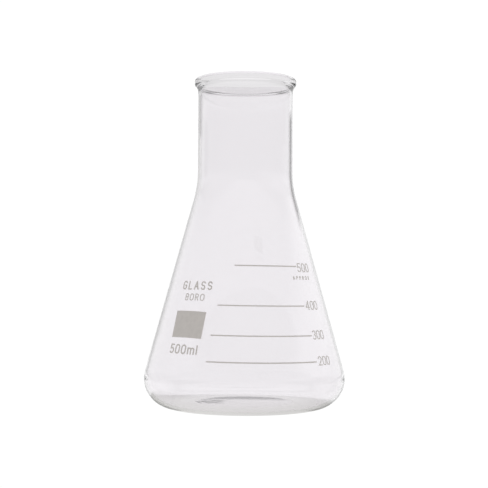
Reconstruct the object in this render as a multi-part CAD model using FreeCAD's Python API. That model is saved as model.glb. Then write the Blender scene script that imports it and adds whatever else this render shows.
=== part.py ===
"""Wide-neck Erlenmeyer flask, 500 ml: one blown glass vessel with fired enamel marks.

Units are millimetres. The origin is the centre of the foot, on the surface that the
flask stands on. +Z is up along the axis, and the scale faces the front, towards -Y.
An azimuth is an angle round the axis from the front, positive towards +X.
"""
import FreeCAD, Part
import math
import os

# Outside of the vessel
HEIGHT = 175.0
BODY_DIAMETER = 106.7
NECK_DIAMETER = 50.7
CONE_HALF_ANGLE = 15.6
HEEL_RADIUS = 15.6
SHOULDER_RADIUS = 59.0

# Bead round the mouth: a short upright band between its top and bottom rounding
BEAD_DIAMETER = 54.4
BEAD_DEPTH = 2.8
BEAD_TOP_RADIUS = 1.6
BEAD_BOTTOM_RADIUS = 1.7
BEAD_FILLET = 5.0

# Thickness of the glass
WALL = 1.3
FLOOR_THICKNESS = 1.6

# Underside: a flat ring to stand on, round a shallow push-up
FOOT_WIDTH = 10.0
FOOT_FILLET = 10.0
PUSH_UP = 0.6

# Enamel marks. Heights are above the foot at azimuth 0; the print's tilt, in degrees, lowers
# them to the right.
ENAMEL = 0.1
PRINT_TILT = 0.8
LINE_THICKNESS = 0.65
NUMERAL_AZIMUTH = 52.7
NUMERAL_CAP = 4.8
NUMERAL_STROKE = 0.55
NUMERAL_GAP = 0.52
GRADUATIONS = {
    # millilitres: (height of the line, azimuths of its two ends, height of the numeral)
    "200": (27.3, -22.0, 45.5, 27.7),
    "300": (40.2, -21.0, 45.8, 40.5),
    "400": (55.0, -18.3, 44.3, 55.3),
    "500": (75.0, -7.9, 44.2, 74.4),
}
APPROX_AZIMUTH = 48.0
APPROX_HEIGHT = 69.2
APPROX_CAP = 2.0
APPROX_STROKE = 0.38
APPROX_GAP = 1.02
GLASS_MARK_AZIMUTH = -37.3
GLASS_MARK_HEIGHT = 64.5
GLASS_MARK_CAP = 4.6
GLASS_MARK_STROKE = 0.72
GLASS_MARK_GAP = 1.25
BORO_MARK_AZIMUTH = -37.2
BORO_MARK_HEIGHT = 58.6
BORO_MARK_CAP = 3.7
BORO_MARK_STROKE = 0.5
BORO_MARK_GAP = 0.9
PATCH_AZIMUTH = -38.6
PATCH_HEIGHT = 45.0
PATCH_WIDTH = 19.3
PATCH_LENGTH = 13.75
CAPACITY_AZIMUTH = -39.0
CAPACITY_HEIGHT = 32.6
CAPACITY_CAP = 5.0
CAPACITY_STROKE = 0.76
CAPACITY_GAP = 0.9

# How far cutters reach through the enamel skin, and how far the skin goes past their outline
PRINT_REACH = 3.0
MARGIN = 1.0

BODY_RADIUS = BODY_DIAMETER / 2
NECK_RADIUS = NECK_DIAMETER / 2
BEAD_OUTER = BEAD_DIAMETER / 2
BORE_RADIUS = NECK_RADIUS - WALL
LIP_RADIUS = BEAD_OUTER - BEAD_TOP_RADIUS - BORE_RADIUS
SIN_CONE = math.sin(math.radians(CONE_HALF_ANGLE))
COS_CONE = math.cos(math.radians(CONE_HALF_ANGLE))
TAN_TILT = math.tan(math.radians(PRINT_TILT))

# The cone's outline is the line COS_CONE * r + SIN_CONE * z = CONE_OFFSET
HEEL_CENTRE = (BODY_RADIUS - HEEL_RADIUS, HEEL_RADIUS)
CONE_OFFSET = COS_CONE * HEEL_CENTRE[0] + SIN_CONE * HEEL_CENTRE[1] + HEEL_RADIUS
SHOULDER_R = NECK_RADIUS + SHOULDER_RADIUS
SHOULDER_CENTRE = (SHOULDER_R, (CONE_OFFSET + SHOULDER_RADIUS - COS_CONE * SHOULDER_R) / SIN_CONE)


# ---- outline helpers: a point is (distance from the axis, height) ----

def point(r, z):
    return FreeCAD.Vector(r, 0, z)


def on_circle(centre, radius, angle):
    turn = math.radians(angle)
    return (centre[0] + radius * math.cos(turn), centre[1] + radius * math.sin(turn))


def arc(centre, radius, start, end):
    ends = [on_circle(centre, radius, angle) for angle in (start, (start + end) / 2, end)]
    return Part.Arc(*[point(*p) for p in ends]).toShape()


def line(start, end):
    return Part.LineSegment(point(*start), point(*end)).toShape()


def dome(rim_centre, rim_radius, top):
    """Radius of an arc centred on the axis, cresting at top, tangent to the arc round its rim.

    The angle is where the two meet, seen from the dome's centre.
    """
    rise = rim_centre[1] - top
    radius = (rim_centre[0] ** 2 + rise ** 2 - rim_radius ** 2) / (2 * (rim_radius - rise))
    angle = math.degrees(math.atan2(rise + radius, rim_centre[0]))
    return radius, angle


# ---- the glass vessel ----

def underside(foot_inner):
    fillet_centre = (foot_inner, FOOT_FILLET)
    radius, angle = dome(fillet_centre, FOOT_FILLET, PUSH_UP)
    return [
        arc((0, PUSH_UP - radius), radius, 90, angle),
        arc(fillet_centre, FOOT_FILLET, angle + 180, 270),
    ]


def outer_side():
    """Heel, cone, shoulder, neck and the bead, round to the upper end of the bore."""
    cone_turn = 180 + CONE_HALF_ANGLE
    band_bottom = HEIGHT - BEAD_DEPTH
    bottom_centre = (BEAD_OUTER - BEAD_BOTTOM_RADIUS, band_bottom)
    top_centre = (BEAD_OUTER - BEAD_TOP_RADIUS, HEIGHT - BEAD_TOP_RADIUS)
    lip_centre = (BORE_RADIUS + LIP_RADIUS, HEIGHT - LIP_RADIUS)
    reach = NECK_RADIUS + BEAD_FILLET - bottom_centre[0]
    drop = math.sqrt((BEAD_BOTTOM_RADIUS + BEAD_FILLET) ** 2 - reach ** 2)
    meeting = math.degrees(math.atan2(drop, reach))
    fillet_centre = (NECK_RADIUS + BEAD_FILLET, band_bottom - drop)
    return [
        arc(HEEL_CENTRE, HEEL_RADIUS, -90, CONE_HALF_ANGLE),
        line(on_circle(HEEL_CENTRE, HEEL_RADIUS, CONE_HALF_ANGLE),
             on_circle(SHOULDER_CENTRE, SHOULDER_RADIUS, cone_turn)),
        arc(SHOULDER_CENTRE, SHOULDER_RADIUS, cone_turn, 180),
        line((NECK_RADIUS, SHOULDER_CENTRE[1]), (NECK_RADIUS, fillet_centre[1])),
        arc(fillet_centre, BEAD_FILLET, 180, 180 - meeting),
        arc(bottom_centre, BEAD_BOTTOM_RADIUS, -meeting, 0),
        line((BEAD_OUTER, band_bottom), (BEAD_OUTER, top_centre[1])),
        arc(top_centre, BEAD_TOP_RADIUS, 0, 90),
        arc(lip_centre, LIP_RADIUS, 90, 180),
    ]


def inner_side():
    """From the lip down the bore, shoulder, cone and inner heel to the floor's centre."""
    radius = SHOULDER_RADIUS + WALL
    cone_turn = 180 + CONE_HALF_ANGLE
    thinning = (WALL + FLOOR_THICKNESS * SIN_CONE) / (1 + SIN_CONE)
    heel_radius = HEEL_RADIUS - thinning
    heel_centre = (HEEL_CENTRE[0], FLOOR_THICKNESS + heel_radius)
    crest = PUSH_UP + FLOOR_THICKNESS
    floor_radius, angle = dome(heel_centre, heel_radius, crest)
    return [
        line((BORE_RADIUS, HEIGHT - LIP_RADIUS), (BORE_RADIUS, SHOULDER_CENTRE[1])),
        arc(SHOULDER_CENTRE, radius, 180, cone_turn),
        line(on_circle(SHOULDER_CENTRE, radius, cone_turn),
             on_circle(heel_centre, heel_radius, CONE_HALF_ANGLE)),
        arc(heel_centre, heel_radius, CONE_HALF_ANGLE, angle - 180),
        arc((0, crest - floor_radius), floor_radius, angle, 90),
    ]


def glass_vessel():
    foot_inner = HEEL_CENTRE[0] - FOOT_WIDTH
    edges = underside(foot_inner)
    edges.append(line((foot_inner, 0), (HEEL_CENTRE[0], 0)))
    edges += outer_side()
    edges += inner_side()
    edges.append(line((0, PUSH_UP + FLOOR_THICKNESS), (0, PUSH_UP)))
    face = Part.Face(Part.Wire(edges))
    return face.revolve(FreeCAD.Vector(0, 0, 0), FreeCAD.Vector(0, 0, 1), 360)


# ---- enamel on the outside of the cone ----

def cone_radius(height):
    return (CONE_OFFSET - SIN_CONE * height) / COS_CONE


def film(low, high, start, end):
    """Enamel skin on the cone, between two heights and two azimuths.

    It is turned from +X, which is 90 degrees past the front.
    """
    corners = []
    for height, lift in ((low, 0), (high, 0), (high, ENAMEL), (low, ENAMEL)):
        corners.append((cone_radius(height) + lift * COS_CONE, height + lift * SIN_CONE))
    edges = [line(corners[i - 1], corners[i]) for i in range(len(corners))]
    face = Part.Face(Part.Wire(edges))
    axis = FreeCAD.Vector(0, 0, 1)
    skin = face.revolve(FreeCAD.Vector(0, 0, 0), axis, end - start)
    skin.rotate(FreeCAD.Vector(0, 0, 0), axis, start - 90)
    return skin


def tilted_height(height, azimuth):
    """The print runs slightly downhill to the right."""
    return height - TAN_TILT * cone_radius(height) * math.sin(math.radians(azimuth))


def on_cone(azimuth, height):
    """Placement on the cone: X to the right, Y up the slope, Z out of the glass."""
    turn = math.radians(azimuth)
    outward = FreeCAD.Vector(math.sin(turn), -math.cos(turn), 0)
    upright = FreeCAD.Vector(0, 0, 1)
    right = FreeCAD.Vector(math.cos(turn), math.sin(turn), 0)
    uphill = upright * COS_CONE - outward * SIN_CONE
    normal = outward * COS_CONE + upright * SIN_CONE
    turned = FreeCAD.Rotation(right, uphill, normal, "XYZ")
    tilt = FreeCAD.Rotation(FreeCAD.Vector(0, 0, 1), -PRINT_TILT)
    z = tilted_height(height, azimuth)
    return FreeCAD.Placement(outward * cone_radius(z) + upright * z, turned * tilt)


def prism(face):
    """A flat shape in the XY plane, thickened to reach through the enamel on both sides."""
    solid = face.extrude(FreeCAD.Vector(0, 0, 2 * PRINT_REACH))
    solid.translate(FreeCAD.Vector(0, 0, -PRINT_REACH))
    return solid


def print_on_cone(cutter, azimuth, height):
    """The part of the enamel skin inside a prism that is drawn round its own origin."""
    box = cutter.BoundBox
    half_width = max(box.XMax, -box.XMin) + MARGIN
    half_height = max(box.YMax, -box.YMin) + MARGIN
    z = tilted_height(height, azimuth)
    spread = math.degrees(half_width / cone_radius(z + half_height))
    skin = film(z - half_height, z + half_height, azimuth - spread, azimuth + spread)
    placed = cutter.copy()
    placed.Placement = on_cone(azimuth, height).multiply(cutter.Placement)
    return skin.common(placed)


def graduation_line(height, start, end):
    """A thin arc of enamel, cut from the skin by a slab that follows the print's tilt."""
    skin = film(height - PRINT_REACH, height + PRINT_REACH, start, end)
    slab = Part.makeBox(BODY_DIAMETER, BODY_DIAMETER, LINE_THICKNESS * COS_CONE)
    slab.translate(FreeCAD.Vector(-BODY_RADIUS, -BODY_RADIUS, -LINE_THICKNESS * COS_CONE / 2))
    slab.rotate(FreeCAD.Vector(0, 0, 0), FreeCAD.Vector(0, 1, 0), PRINT_TILT)
    slab.translate(FreeCAD.Vector(0, 0, height))
    return skin.common(slab)


def writing_patch():
    patch = Part.makePlane(PATCH_WIDTH, PATCH_LENGTH)
    patch.translate(FreeCAD.Vector(-PATCH_WIDTH / 2, -PATCH_LENGTH / 2, 0))
    return print_on_cone(prism(patch), PATCH_AZIMUTH, PATCH_HEIGHT)


# ---- plain stroke lettering ----
# Each sign is a list of strokes one unit tall. A stroke is a chain of points and bows,
# and a bow is (centre x, centre y, radius, start angle, end angle).

STEM = [(0, 0), (0, 1)]
UPPER_BOWL = [(0, 1), (0.28, 0.75, 0.25, 90, -90), (0, 0.5)]
LOWER_BOWL = [(0, 0.5), (0.28, 0.25, 0.25, 90, -90), (0, 0)]
SIGNS = {
    "0": [[(0.29, 0.71, 0.29, 0, 180), (0.29, 0.29, 0.29, 180, 360)]],
    "2": [[(0.28, 0.72, 0.28, 170, -28), (0, 0), (0.58, 0)]],
    "3": [[(0.29, 0.76, 0.24, 150, -90), (0.29, 0.26, 0.26, 90, -150)]],
    "4": [[(0.44, 0), (0.44, 1)], [(0.44, 1), (0, 0.28), (0.62, 0.28)]],
    "5": [[(0.54, 1), (0.1, 1), (0.28, 0.31, 0.3, 135, -145)]],
    "A": [[(0, 0), (0.31, 1), (0.62, 0)], [(0.11, 0.34), (0.51, 0.34)]],
    "B": [STEM, UPPER_BOWL, LOWER_BOWL],
    "G": [[(0.3, 0.7, 0.3, 25, 180), (0.3, 0.3, 0.3, 180, 360), (0.6, 0.48), (0.34, 0.48)]],
    "L": [[(0, 1), (0, 0), (0.5, 0)]],
    "O": [[(0.33, 0.67, 0.33, 0, 180), (0.33, 0.33, 0.33, 180, 360)]],
    "P": [STEM, UPPER_BOWL],
    "R": [STEM, UPPER_BOWL, [(0.26, 0.5), (0.54, 0)]],
    "S": [[(0.27, 0.75, 0.25, 25, 270), (0.27, 0.25, 0.25, 90, -155)]],
    "X": [[(0, 0), (0.56, 1)], [(0, 1), (0.56, 0)]],
    "l": [STEM],
    "m": [[(0, 0), (0, 0.68)],
          [(0, 0.4), (0.21, 0.47, 0.21, 180, 0), (0.42, 0)],
          [(0.42, 0.4), (0.63, 0.47, 0.21, 180, 0), (0.84, 0)]],
}
CLOSED_SIGNS = ("0", "O")
TOUCHING = 1e-6


def stroke_edges(stroke, scale, closed):
    """Edges along a stroke's middle, with straight runs between its points and bows."""
    edges = []
    position = None
    for step in stroke:
        if len(step) == 2:
            start = end = FreeCAD.Vector(*step) * scale
            bow = None
        else:
            x, y, radius, begin, finish = step
            ends = [on_circle((x, y), radius, angle) for angle in (begin, (begin + finish) / 2, finish)]
            start, middle, end = [FreeCAD.Vector(*p) * scale for p in ends]
            bow = Part.Arc(start, middle, end).toShape()
        if position is not None and not position.isEqual(start, TOUCHING):
            edges.append(Part.LineSegment(position, start).toShape())
        if bow is not None:
            edges.append(bow)
        position = end
    if closed:
        edges.append(Part.LineSegment(position, edges[0].firstVertex().Point).toShape())
    return edges


def ribbon(edges, width, closed):
    """Flat band of even width along the edges, with round ends."""
    if closed:
        middle = Part.Wire(edges)
        outside = Part.Face(middle.makeOffset2D(width / 2))
        return outside.cut(Part.Face(middle.makeOffset2D(-width / 2))).Faces[0]
    if len(edges) > 1:
        return Part.Wire(edges).makeOffset2D(width / 2, fill=True)
    start, end = [vertex.Point for vertex in edges[0].Vertexes]
    along = (end - start).normalize() * (width / 2)
    across = FreeCAD.Vector(-along.y, along.x, 0)
    outline = [
        Part.LineSegment(start + across, end + across).toShape(),
        Part.Arc(end + across, end + along, end - across).toShape(),
        Part.LineSegment(end - across, start - across).toShape(),
        Part.Arc(start - across, start - along, start + across).toShape(),
    ]
    return Part.Face(Part.Wire(outline))


def sign_prism(sign, cap, stroke_width):
    """One letter or digit, centred across, with the middle of its cap height at y = 0."""
    closed = sign in CLOSED_SIGNS
    rise = cap - stroke_width
    bands = []
    for stroke in SIGNS[sign]:
        bands.append(prism(ribbon(stroke_edges(stroke, rise, closed), stroke_width, closed)))
    shape = bands[0]
    if len(bands) > 1:
        shape = shape.fuse(bands[1:]).removeSplitter()
    shape.translate(FreeCAD.Vector(-shape.BoundBox.Center.x, -rise / 2, 0))
    return shape


def lettering(text, azimuth, height, cap, stroke_width, gap):
    """A row of signs centred on an azimuth, each one upright on the cone."""
    prisms = [sign_prism(sign, cap, stroke_width) for sign in text]
    widths = [sign.BoundBox.XLength for sign in prisms]
    run = -(sum(widths) + gap * (len(text) - 1)) / 2
    signs = []
    for sign, width in zip(prisms, widths):
        turn = math.degrees((run + width / 2) / cone_radius(height))
        signs.append(print_on_cone(sign, azimuth + turn, height))
        run += width + gap
    return Part.makeCompound(signs)


def flask():
    """Every node of the flask by name."""
    nodes = {"glass_vessel": glass_vessel()}
    for volume, (height, start, end, numeral_height) in GRADUATIONS.items():
        nodes["graduation_line_" + volume] = graduation_line(height, start, end)
        nodes["numeral_" + volume] = lettering(
            volume, NUMERAL_AZIMUTH, numeral_height, NUMERAL_CAP, NUMERAL_STROKE, NUMERAL_GAP)
    nodes["approx_mark"] = lettering(
        "APPROX", APPROX_AZIMUTH, APPROX_HEIGHT, APPROX_CAP, APPROX_STROKE, APPROX_GAP)
    nodes["glass_mark"] = lettering(
        "GLASS", GLASS_MARK_AZIMUTH, GLASS_MARK_HEIGHT, GLASS_MARK_CAP, GLASS_MARK_STROKE, GLASS_MARK_GAP)
    nodes["boro_mark"] = lettering(
        "BORO", BORO_MARK_AZIMUTH, BORO_MARK_HEIGHT, BORO_MARK_CAP, BORO_MARK_STROKE, BORO_MARK_GAP)
    nodes["writing_patch"] = writing_patch()
    nodes["capacity_mark"] = lettering(
        "500ml", CAPACITY_AZIMUTH, CAPACITY_HEIGHT, CAPACITY_CAP, CAPACITY_STROKE, CAPACITY_GAP)
    return nodes


def export(nodes):
    os.makedirs("parts", exist_ok=True)
    for name, shape in nodes.items():
        shape.exportStep("parts/" + name + ".step")


export(flask())
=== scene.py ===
"""Looks of the Erlenmeyer flask: clear borosilicate glass with fired enamel marks.

Metres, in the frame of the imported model. +Z is up and the printed scale faces -Y.
"""
import math

import bpy
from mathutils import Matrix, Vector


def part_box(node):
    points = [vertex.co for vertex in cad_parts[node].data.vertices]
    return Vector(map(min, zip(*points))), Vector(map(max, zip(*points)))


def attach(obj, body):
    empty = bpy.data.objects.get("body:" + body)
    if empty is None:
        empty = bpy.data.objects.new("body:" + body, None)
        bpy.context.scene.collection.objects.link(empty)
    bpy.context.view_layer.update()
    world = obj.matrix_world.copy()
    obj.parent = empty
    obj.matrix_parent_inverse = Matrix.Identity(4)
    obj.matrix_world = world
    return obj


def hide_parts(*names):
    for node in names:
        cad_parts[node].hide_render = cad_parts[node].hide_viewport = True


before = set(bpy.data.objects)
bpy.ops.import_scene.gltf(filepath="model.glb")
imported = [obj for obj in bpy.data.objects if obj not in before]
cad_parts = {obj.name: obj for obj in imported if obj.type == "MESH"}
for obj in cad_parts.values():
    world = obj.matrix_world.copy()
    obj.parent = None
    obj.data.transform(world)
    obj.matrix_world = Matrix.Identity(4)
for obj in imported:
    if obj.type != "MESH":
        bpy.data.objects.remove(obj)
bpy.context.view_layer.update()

MM = 0.001

# ---- the vessel's own sizes, which its box doesn't give ----
CONE_HALF_ANGLE = math.radians(15.6)
HEEL_RADIUS = 15.6 * MM
SHOULDER_RADIUS = 59 * MM
NECK_RADIUS = 25.35 * MM
BEAD_OUTER = 27.2 * MM
BEAD_DEPTH = 2.8 * MM
BEAD_TOP_RADIUS = 1.6 * MM
BEAD_BOTTOM_RADIUS = 1.7 * MM
BEAD_FILLET = 5.0 * MM
WALL = 1.3 * MM
FLOOR_THICKNESS = 1.6 * MM
FOOT_WIDTH = 10.0 * MM
FOOT_FILLET = 10 * MM
PUSH_UP = 0.6 * MM
ENAMEL_BITE = 0.02 * MM

SIN_CONE = math.sin(CONE_HALF_ANGLE)
COS_CONE = math.cos(CONE_HALF_ANGLE)
BORE_RADIUS = NECK_RADIUS - WALL
LIP_RADIUS = BEAD_OUTER - BEAD_TOP_RADIUS - BORE_RADIUS
QUARTER = math.pi / 2

# ---- how finely the vessel is turned ----
RING_STEPS = 288
ARC_STEP = math.radians(3)
RUN_STEP = 2.5 * MM


# ==== outline helpers: a point is (distance from the axis, height) ====

def on_circle(centre, radius, angle):
    return (centre[0] + radius * math.cos(angle), centre[1] + radius * math.sin(angle))


def arc_points(centre, radius, start, end, least=4):
    steps = max(least, math.ceil(abs(end - start) / ARC_STEP))
    return [on_circle(centre, radius, start + (end - start) * i / steps) for i in range(steps + 1)]


def run_points(start, end):
    """Points along a straight run, without its two ends."""
    length = math.dist(start, end)
    steps = max(2, math.ceil(length / RUN_STEP))
    return [
        tuple(a + (b - a) * i / steps for a, b in zip(start, end))
        for i in range(1, steps)
    ]


def dome(rim_centre, rim_radius, top):
    """Radius of an arc centred on the axis and cresting at top, tangent to the arc round its rim."""
    rise = rim_centre[1] - top
    radius = (rim_centre[0] ** 2 + rise ** 2 - rim_radius ** 2) / (2 * (rim_radius - rise))
    return radius, math.atan2(rise + radius, rim_centre[0])


# ==== the glass vessel ====

def shoulder_centre(heel, neck_radius):
    """Centre of the arc that joins the cone over the heel to the straight neck."""
    offset = COS_CONE * heel[0] + SIN_CONE * heel[1] + HEEL_RADIUS
    r = neck_radius + SHOULDER_RADIUS
    return (r, (offset + SHOULDER_RADIUS - COS_CONE * r) / SIN_CONE)


def underside(heel):
    """From the push-up's centre to the inner edge of the flat foot."""
    foot = (heel[0] - FOOT_WIDTH, FOOT_FILLET)
    radius, angle = dome(foot, FOOT_FILLET, PUSH_UP)
    points = arc_points((0, PUSH_UP - radius), radius, QUARTER, angle, 24)
    return points + arc_points(foot, FOOT_FILLET, angle + math.pi, 3 * QUARTER)[1:]


def outer_side(heel, shoulder, height):
    """From the foot's outer edge up the cone and neck, round the bead and over the lip.

    The cone reaches a little way into the enamel, so that the two are bonded.
    """
    cone_turn = math.pi + CONE_HALF_ANGLE
    bottom = (BEAD_OUTER - BEAD_BOTTOM_RADIUS, height - BEAD_DEPTH)
    top = (BEAD_OUTER - BEAD_TOP_RADIUS, height - BEAD_TOP_RADIUS)
    lip = (BORE_RADIUS + LIP_RADIUS, height - LIP_RADIUS)
    reach = NECK_RADIUS + BEAD_FILLET - bottom[0]
    drop = math.sqrt((BEAD_BOTTOM_RADIUS + BEAD_FILLET) ** 2 - reach ** 2)
    meeting = math.atan2(drop, reach)
    fillet = (NECK_RADIUS + BEAD_FILLET, bottom[1] - drop)
    cone_start = on_circle(heel, HEEL_RADIUS + ENAMEL_BITE, CONE_HALF_ANGLE)
    cone_end = on_circle(shoulder, SHOULDER_RADIUS - ENAMEL_BITE, cone_turn)
    points = arc_points(heel, HEEL_RADIUS, -QUARTER, 0)
    points.append(cone_start)
    points += run_points(cone_start, cone_end)
    points.append(cone_end)
    points += arc_points(shoulder, SHOULDER_RADIUS, cone_turn, math.pi, 16)[1:]
    points += run_points(points[-1], (NECK_RADIUS, fillet[1]))
    points += arc_points(fillet, BEAD_FILLET, math.pi, math.pi - meeting)
    points += arc_points(bottom, BEAD_BOTTOM_RADIUS, -meeting, 0)[1:]
    points += arc_points(top, BEAD_TOP_RADIUS, 0, QUARTER)
    points += arc_points(lip, LIP_RADIUS, QUARTER, math.pi)[1:]
    return points


def inner_side(heel, shoulder, height):
    """From the lip down the bore, shoulder, cone and inner heel to the floor's centre."""
    radius = SHOULDER_RADIUS + WALL
    thinning = (WALL + FLOOR_THICKNESS * SIN_CONE) / (1 + SIN_CONE)
    heel_radius = HEEL_RADIUS - thinning
    inner_heel = (heel[0], FLOOR_THICKNESS + heel_radius)
    crest = PUSH_UP + FLOOR_THICKNESS
    floor_radius, angle = dome(inner_heel, heel_radius, crest)
    points = run_points((BORE_RADIUS, height - LIP_RADIUS), (BORE_RADIUS, shoulder[1]))
    points += arc_points(shoulder, radius, math.pi, math.pi + CONE_HALF_ANGLE, 16)
    points += run_points(points[-1], on_circle(inner_heel, heel_radius, CONE_HALF_ANGLE))
    points += arc_points(inner_heel, heel_radius, CONE_HALF_ANGLE, angle - math.pi)
    points += arc_points((0, crest - floor_radius), floor_radius, angle, QUARTER, 24)[1:]
    return points


def place_mesh(name, mesh):
    piece = bpy.data.objects.new(name, mesh)
    bpy.context.scene.collection.objects.link(piece)
    return piece


def lathe(name, outline):
    """Turn an outline that starts and ends on the axis into a closed smooth mesh."""
    rings = outline[1:-1]
    vertices = [(0, 0, outline[0][1])]
    for r, z in rings:
        for i in range(RING_STEPS):
            turn = 2 * math.pi * i / RING_STEPS
            vertices.append((r * math.cos(turn), r * math.sin(turn), z))
    vertices.append((0, 0, outline[-1][1]))
    last = len(vertices) - 1
    faces = []
    for i in range(RING_STEPS):
        j = (i + 1) % RING_STEPS
        faces.append((0, 1 + j, 1 + i))
        for k in range(len(rings) - 1):
            low = 1 + k * RING_STEPS
            high = low + RING_STEPS
            faces.append((low + i, low + j, high + j, high + i))
        top = 1 + (len(rings) - 1) * RING_STEPS
        faces.append((top + i, top + j, last))
    mesh = bpy.data.meshes.new(name)
    mesh.from_pydata(vertices, [], faces)
    mesh.polygons.foreach_set("use_smooth", [True] * len(mesh.polygons))
    mesh.update()
    return place_mesh(name, mesh)


def make_vessel():
    low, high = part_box("glass_vessel")
    heel = ((high.x - low.x) / 2 - HEEL_RADIUS, HEEL_RADIUS)
    shoulder = shoulder_centre(heel, NECK_RADIUS)
    outline = underside(heel)
    outline += outer_side(heel, shoulder, high.z)
    outline += inner_side(heel, shoulder, high.z)
    vessel = lathe("blown_glass", outline)
    vessel.data.materials.append(borosilicate())
    vessel.visible_shadow = False
    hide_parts("glass_vessel")
    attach(vessel, "root")


# ==== materials ====

GLASS_TINT = (0.923, 0.910, 0.925, 1)
GLASS_IOR = 1.473
# The faint ripple of blown ware: how fine it is, its strength and its depth
RIPPLE_SCALE = 28
RIPPLE_STRENGTH = 0.05
RIPPLE_DEPTH = 0.2 * MM
# Chill marks, small waves left in the floor by the mould: their middle, the distances between
# which they die away, how fine they are and how deep
CHILL_PLACE = (-0.024, -0.010, 0.002)
CHILL_REACH = (0.003, 0.017)
CHILL_SCALE = 220
CHILL_DEPTH = 0.6 * MM
# The enamel's darker and paler tone, the places of the two in the blotches, how fine the
# blotches and the screen's grain are, and the grain's strength and depth
ENAMEL_TONES = [(0.3, (0.574, 0.542, 0.516, 1)), (0.7, (0.627, 0.593, 0.563, 1))]
BLOTCH_SCALE = 450
GRAIN_SCALE = 6000
GRAIN_STRENGTH = 0.3
GRAIN_DEPTH = 0.02 * MM


def new_material(name):
    material = bpy.data.materials.new(name)
    material.use_nodes = True
    nodes = material.node_tree.nodes
    return material, nodes, material.node_tree.links, nodes["Principled BSDF"]


def noise(nodes, links, place, scale, detail):
    node = nodes.new("ShaderNodeTexNoise")
    node.inputs["Scale"].default_value = scale
    node.inputs["Detail"].default_value = detail
    links.new(place, node.inputs["Vector"])
    return node.outputs["Fac"]


def bump(nodes, links, height, strength, distance):
    node = nodes.new("ShaderNodeBump")
    node.inputs["Strength"].default_value = strength
    node.inputs["Distance"].default_value = distance
    links.new(height, node.inputs["Height"])
    return node


def math_node(nodes, links, operation, *inputs):
    """A Math node fed from sockets or numbers; returns its output."""
    node = nodes.new("ShaderNodeMath")
    node.operation = operation
    for socket, value in zip(node.inputs, inputs):
        if isinstance(value, bpy.types.NodeSocket):
            links.new(value, socket)
        else:
            socket.default_value = value
    return node.outputs["Value"]


def share(nodes, links, value, low, high):
    """0 below low, 1 above high and eased between."""
    node = nodes.new("ShaderNodeMapRange")
    node.interpolation_type = "SMOOTHSTEP"
    node.inputs["From Min"].default_value = low
    node.inputs["From Max"].default_value = high
    links.new(value, node.inputs["Value"])
    return node.outputs["Result"]


def blend_colors(nodes, links, factor, first, second):
    node = nodes.new("ShaderNodeMix")
    node.data_type = "RGBA"
    links.new(factor, node.inputs["Factor"])
    links.new(first, node.inputs["A"])
    links.new(second, node.inputs["B"])
    return node.outputs["Result"]


def borosilicate():
    """Clear hard glass with the faint ripple of blown ware and chill marks in the floor."""
    material, nodes, links, shader = new_material("borosilicate_glass")
    shader.inputs["Base Color"].default_value = GLASS_TINT
    shader.inputs["Transmission Weight"].default_value = 1
    shader.inputs["IOR"].default_value = GLASS_IOR
    shader.inputs["Roughness"].default_value = 0
    place = nodes.new("ShaderNodeTexCoord").outputs["Object"]
    ripple = noise(nodes, links, place, RIPPLE_SCALE, 1)
    rippled = bump(nodes, links, ripple, RIPPLE_STRENGTH, RIPPLE_DEPTH)
    offset = nodes.new("ShaderNodeVectorMath")
    offset.operation = "DISTANCE"
    offset.inputs[1].default_value = CHILL_PLACE
    links.new(place, offset.inputs[0])
    outside = share(nodes, links, offset.outputs["Value"], *CHILL_REACH)
    inside = math_node(nodes, links, "SUBTRACT", 1, outside)
    wave = noise(nodes, links, place, CHILL_SCALE, 1)
    chill = math_node(nodes, links, "MULTIPLY", wave, inside)
    marked = bump(nodes, links, chill, 1, CHILL_DEPTH)
    links.new(rippled.outputs["Normal"], marked.inputs["Normal"])
    links.new(marked.outputs["Normal"], shader.inputs["Normal"])
    return material


def enamel():
    """Warm grey fired enamel: satin, slightly uneven in tone, with a fine screen grain."""
    material, nodes, links, shader = new_material("fired_enamel")
    place = nodes.new("ShaderNodeTexCoord").outputs["Object"]
    blotch = noise(nodes, links, place, BLOTCH_SCALE, 4)
    tone = nodes.new("ShaderNodeValToRGB")
    for element, (position, color) in zip(tone.color_ramp.elements, ENAMEL_TONES):
        element.position = position
        element.color = color
    links.new(blotch, tone.inputs["Fac"])
    links.new(tone.outputs["Color"], shader.inputs["Base Color"])
    grain = noise(nodes, links, place, GRAIN_SCALE, 2)
    grained = bump(nodes, links, grain, GRAIN_STRENGTH, GRAIN_DEPTH)
    links.new(grained.outputs["Normal"], shader.inputs["Normal"])
    shader.inputs["Roughness"].default_value = 0.45
    shader.inputs["IOR"].default_value = 1.5
    return material


def coat_marks():
    coat = enamel()
    for name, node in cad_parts.items():
        if name != "glass_vessel":
            node.data.materials.clear()
            node.data.materials.append(coat)


# ==== studio ====

PAPER = 1.03
HALF_FLOOR = 6.0
# The floor glows, with painted light: white along a strip behind and before the flask that
# widens with distance, and a painted falloff of light to grey beyond: the strip's half width
# at the flask and how fast it widens, and its glow at shares of twice that half width
STRIP_WIDTH = 0.25
STRIP_SPREAD = 0.25
FLOOR_PAINTED_LIGHT = [(0.0, PAPER), (0.45, PAPER), (0.9, 0.5), (1.0, 0.5)]
# Shade on the paper under the flask's front, seen only through the glass: where its centre
# lies and how high, its brightness at distances from that centre, and the distances between
# which it fades away
SHADE_PLACE = (-0.008, -0.013, 0.05 * MM)
FOOT_SHADE = [(0, 0.76), (0.026, 0.74), (0.038, 0.67), (0.044, 0.60), (0.052, 0.58)]
SHADE_TINT = (1.0, 0.995, 0.97)
SHADE_FADE = (0.040, 0.048)
SHADE_STRETCH = 1.3

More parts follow.
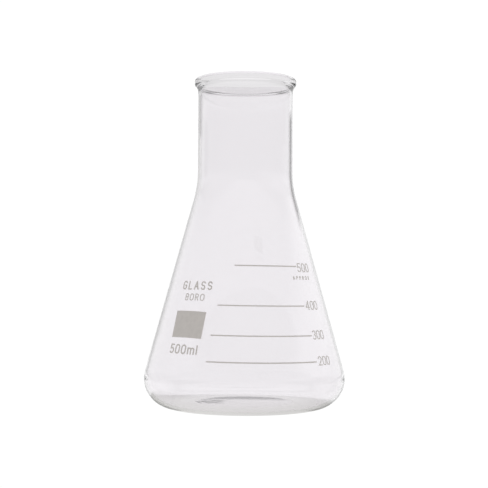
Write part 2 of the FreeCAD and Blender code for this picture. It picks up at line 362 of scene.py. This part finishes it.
# Brightness of the room by direction, in degrees from straight behind the flask, positive
# to the right. Three rows serve for light that comes in nearly level, from higher up and from
# high up. The room turns from one row into the next between two sines of that height.
LEVEL_ROOM = [
    (-180, 0.45), (-100, 0.34), (-78, 0.45), (-65, 0.66), (-55, 0.86), (-40, 0.90), (-31, 0.88),
    (-27, 0.78), (-21, 0.66), (-17, 0.72), (-13, PAPER), (13, PAPER), (18, 0.88), (23, 0.84),
    (29, 0.98), (36, 1.05), (50, 0.95), (75, 0.75), (100, 0.60), (180, 0.45),
]
RAISED_ROOM = [
    (-180, 0.60), (-100, 0.66), (-65, 0.72), (-45, 0.90), (-33, 0.92), (-27, 0.80), (-21, 0.74),
    (-17, 0.78), (-13, PAPER), (13, PAPER), (18, 0.88), (23, 0.84), (29, 0.98), (36, 1.08),
    (60, 1.10), (100, 1.00), (130, 0.75), (180, 0.60),
]
UPPER_ROOM = [
    (-180, 0.60), (-110, 0.55), (-65, 0.55), (-45, 0.95), (45, 0.95), (65, 0.55), (110, 0.55),
    (180, 0.60),
]
RAISED_FROM = (0.13, 0.19)
UPPER_FROM = (0.32, 0.44)
# The ceiling's brightness, and where the room turns into it
CEILING = 0.40
CEILING_FROM = (0.56, 0.68)
# Two small grey cards out of view behind the neck, which darken its edges: how far they stand
# from those edges, and for each the x of its edge, its two ends in degrees as above, its lower
# and upper edge, and its brightness. Then how much of a card covers what is behind it, along
# it and up it.
CARD_DISTANCE = 0.15
CARDS = {
    "right_card": (NECK_RADIUS, (18, 52), (0.126, 0.181), 0.36),
    "left_card": (-NECK_RADIUS, (-20, -60), (0.160, 0.194), 0.55),
}
CARD_ALONG = [(0, 0), (0.35, 0.75), (0.5, 1), (0.7, 1), (0.85, 0.5), (1, 0)]
CARD_UPWARD = [(0, 0), (0.15, 1), (0.85, 1), (1, 0)]
# A ring of grey film round the rim, painted shade that darkens the rim as the glass shows it: its
# distance from the axis, its lower and upper edge, and the share of light it lets through
FILM_RADIUS = 0.030
FILM_HEIGHTS = (0.172, 0.200)
FILM_SHARE = 0.86
CURVE_STEPS = 96

LAMP_SIZE = 1.8
LAMP_POWER = 6
LAMP_HEIGHT = 1.2


def studio_material(name):
    """A material with no shader yet, for things that glow or filter light."""
    material, nodes, links, shader = new_material(name)
    nodes.remove(shader)
    return material, nodes, links, nodes["Material Output"].inputs["Surface"]


def hide_from_camera(piece):
    """Keep a helper out of the camera's own view, so that it shows through the glass only."""
    piece.visible_camera = False
    piece.visible_shadow = False


def grey_ramp(nodes, stops):
    """A ramp of grey levels, from (position, level) pairs."""
    ramp = nodes.new("ShaderNodeValToRGB")
    while len(ramp.color_ramp.elements) < len(stops):
        ramp.color_ramp.elements.new(0.5)
    for element, (position, level) in zip(ramp.color_ramp.elements, stops):
        element.position = position
        element.color = (level, level, level, 1)
    return ramp


def room_ramp(nodes, room):
    return grey_ramp(nodes, [(0.5 + degrees / 360, level) for degrees, level in room])


def make_floor():
    """Plain pale floor that glows with painted light, white where the flask stands and greyer far
    off to the sides.
    """
    mesh = bpy.data.meshes.new("studio_floor")
    edge = HALF_FLOOR
    mesh.from_pydata([(-edge, -edge, 0), (edge, -edge, 0), (edge, edge, 0), (-edge, edge, 0)],
                     [], [(0, 1, 2, 3)])
    floor = place_mesh("studio_floor", mesh)
    material, nodes, links, surface = studio_material("paper_painted_light")
    # painted light: the floor glows, white in a strip round the flask and greyer off to the sides
    glow = nodes.new("ShaderNodeEmission")
    place = nodes.new("ShaderNodeTexCoord")
    split = nodes.new("ShaderNodeSeparateXYZ")
    links.new(place.outputs["Object"], split.inputs["Vector"])
    aside = math_node(nodes, links, "ABSOLUTE", split.outputs["X"])
    depth = math_node(nodes, links, "ABSOLUTE", split.outputs["Y"])
    spread = math_node(nodes, links, "MULTIPLY_ADD", depth, STRIP_SPREAD, STRIP_WIDTH)
    across = math_node(nodes, links, "DIVIDE", aside, spread)
    ramp = grey_ramp(nodes, FLOOR_PAINTED_LIGHT)
    half = math_node(nodes, links, "MULTIPLY", across, 0.5)
    links.new(half, ramp.inputs["Fac"])
    links.new(ramp.outputs["Color"], glow.inputs["Color"])
    links.new(glow.outputs["Emission"], surface)
    mesh.materials.append(material)


def make_foot_shade():
    """The shade that the flask casts on the paper, as the glass shows it."""
    reach = FOOT_SHADE[-1][0]
    turns = [2 * math.pi * i / CURVE_STEPS for i in range(CURVE_STEPS)]
    ring = [(reach * math.cos(turn), reach * math.sin(turn), 0) for turn in turns]
    mesh = bpy.data.meshes.new("foot_shade")
    mesh.from_pydata(ring, [], [tuple(range(CURVE_STEPS))])
    shade = place_mesh("foot_shade", mesh)
    shade.location = SHADE_PLACE
    shade.scale = (SHADE_STRETCH, 1, 1)
    material, nodes, links, surface = studio_material("foot_shade")
    place = nodes.new("ShaderNodeTexCoord")
    distance = nodes.new("ShaderNodeVectorMath")
    distance.operation = "LENGTH"
    links.new(place.outputs["Object"], distance.inputs[0])
    outward = math_node(nodes, links, "DIVIDE", distance.outputs["Value"], reach)
    tone = grey_ramp(nodes, [(r / reach, level) for r, level in FOOT_SHADE])
    links.new(outward, tone.inputs["Fac"])
    fade = share(nodes, links, distance.outputs["Value"], *SHADE_FADE)
    tinted = nodes.new("ShaderNodeVectorMath")
    tinted.operation = "MULTIPLY"
    tinted.inputs[1].default_value = SHADE_TINT
    glow = nodes.new("ShaderNodeEmission")
    clear = nodes.new("ShaderNodeBsdfTransparent")
    mix = nodes.new("ShaderNodeMixShader")
    links.new(tone.outputs["Color"], tinted.inputs[0])
    links.new(tinted.outputs["Vector"], glow.inputs["Color"])
    links.new(fade, mix.inputs["Fac"])
    links.new(glow.outputs["Emission"], mix.inputs[1])
    links.new(clear.outputs["BSDF"], mix.inputs[2])
    links.new(mix.outputs["Shader"], surface)
    mesh.materials.append(material)
    hide_from_camera(shade)


def make_sky():
    """Room that is white behind the flask, greyer to its sides and darkest overhead."""
    world = bpy.data.worlds.new("studio")
    world.use_nodes = True
    nodes = world.node_tree.nodes
    links = world.node_tree.links
    place = nodes.new("ShaderNodeTexCoord")
    split = nodes.new("ShaderNodeSeparateXYZ")
    links.new(place.outputs["Generated"], split.inputs["Vector"])
    turn = math_node(nodes, links, "ARCTAN2", split.outputs["X"], split.outputs["Y"])
    around = math_node(nodes, links, "MULTIPLY_ADD", turn, 1 / (2 * math.pi), 0.5)
    level = room_ramp(nodes, LEVEL_ROOM)
    raised = room_ramp(nodes, RAISED_ROOM)
    links.new(around, level.inputs["Fac"])
    links.new(around, raised.inputs["Fac"])
    high = share(nodes, links, split.outputs["Z"], *RAISED_FROM)
    room = blend_colors(nodes, links, high, level.outputs["Color"], raised.outputs["Color"])
    upper = room_ramp(nodes, UPPER_ROOM)
    links.new(around, upper.inputs["Fac"])
    steep = share(nodes, links, split.outputs["Z"], *UPPER_FROM)
    walls = blend_colors(nodes, links, steep, room, upper.outputs["Color"])
    overhead = share(nodes, links, split.outputs["Z"], *CEILING_FROM)
    ceiling = nodes.new("ShaderNodeRGB")
    ceiling.outputs["Color"].default_value = (CEILING, CEILING, CEILING, 1)
    whole = blend_colors(nodes, links, overhead, walls, ceiling.outputs["Color"])
    links.new(whole, nodes["Background"].inputs["Color"])
    bpy.context.scene.world = world


def curved_strip(name, middle, radius, turns, heights):
    """Upright strip curved round the vertical line at x = middle, hidden from the camera.

    turns are its two ends, in degrees from straight behind, positive to the right. Its UV map
    runs from 0 to 1 along the strip and from its lower to its upper edge.
    """
    vertices = []
    for i in range(CURVE_STEPS + 1):
        turn = math.radians(turns[0] + (turns[1] - turns[0]) * i / CURVE_STEPS)
        for height in heights:
            vertices.append((middle + radius * math.sin(turn), radius * math.cos(turn), height))
    faces = [(2 * i, 2 * i + 2, 2 * i + 3, 2 * i + 1) for i in range(CURVE_STEPS)]
    mesh = bpy.data.meshes.new(name)
    mesh.from_pydata(vertices, [], faces)
    spread = mesh.uv_layers.new(name="spread")
    for loop in mesh.loops:
        column, row = divmod(loop.vertex_index, 2)
        spread.data[loop.index].uv = (column / CURVE_STEPS, row)
    hide_from_camera(place_mesh(name, mesh))
    return mesh


def make_card(name, middle, turns, heights, brightness):
    """Grey card beside the neck, with soft edges."""
    mesh = curved_strip(name, middle, CARD_DISTANCE, turns, heights)
    material, nodes, links, surface = studio_material(name)
    place = nodes.new("ShaderNodeUVMap")
    split = nodes.new("ShaderNodeSeparateXYZ")
    along = grey_ramp(nodes, CARD_ALONG)
    upward = grey_ramp(nodes, CARD_UPWARD)
    links.new(place.outputs["UV"], split.inputs["Vector"])
    links.new(split.outputs["X"], along.inputs["Fac"])
    links.new(split.outputs["Y"], upward.inputs["Fac"])
    cover = math_node(nodes, links, "MULTIPLY", along.outputs["Color"], upward.outputs["Color"])
    clear = nodes.new("ShaderNodeBsdfTransparent")
    grey = nodes.new("ShaderNodeEmission")
    grey.inputs["Color"].default_value = (brightness, brightness, brightness, 1)
    mix = nodes.new("ShaderNodeMixShader")
    links.new(cover, mix.inputs["Fac"])
    links.new(clear.outputs["BSDF"], mix.inputs[1])
    links.new(grey.outputs["Emission"], mix.inputs[2])
    links.new(mix.outputs["Shader"], surface)
    mesh.materials.append(material)


def make_rim_shade_film():
    """Ring of grey film round the rim: painted shade, which darkens the rim as the glass shows it.
    """
    mesh = curved_strip("rim_shade_film", 0, FILM_RADIUS, (-180, 180), FILM_HEIGHTS)
    material, nodes, links, surface = studio_material("rim_shade_film")
    # painted shade: the grey film darkens what the glass shows through it round the rim
    clear = nodes.new("ShaderNodeBsdfTransparent")
    clear.inputs["Color"].default_value = (FILM_SHARE, FILM_SHARE, FILM_SHARE, 1)
    links.new(clear.outputs["BSDF"], surface)
    mesh.materials.append(material)


def make_overhead_light():
    lamp = bpy.data.lights.new("overhead_softbox", "AREA")
    lamp.shape = "SQUARE"
    lamp.size = LAMP_SIZE
    lamp.energy = LAMP_POWER
    light = bpy.data.objects.new("overhead_softbox", lamp)
    light.location = (0, 0, LAMP_HEIGHT)
    bpy.context.scene.collection.objects.link(light)


def make_camera():
    distance = 0.600
    eye = 0.0710
    aside = -0.0004
    pitch = math.radians(1.5)
    roll = math.radians(-0.24)
    camera = bpy.data.cameras.new("camera")
    camera.sensor_width = 36
    camera.lens = 82.84
    camera.clip_start = 0.01
    view = bpy.data.objects.new("camera", camera)
    view.location = (aside, -distance, eye)
    view.rotation_euler = (QUARTER + pitch, roll, 0)
    bpy.context.scene.collection.objects.link(view)
    bpy.context.scene.camera = view


make_vessel()
coat_marks()
make_floor()
make_foot_shade()
make_sky()
for name, sizes in CARDS.items():
    make_card(name, *sizes)
make_rim_shade_film()
make_overhead_light()
make_camera()
bpy.context.scene.view_settings.view_transform = "Standard"
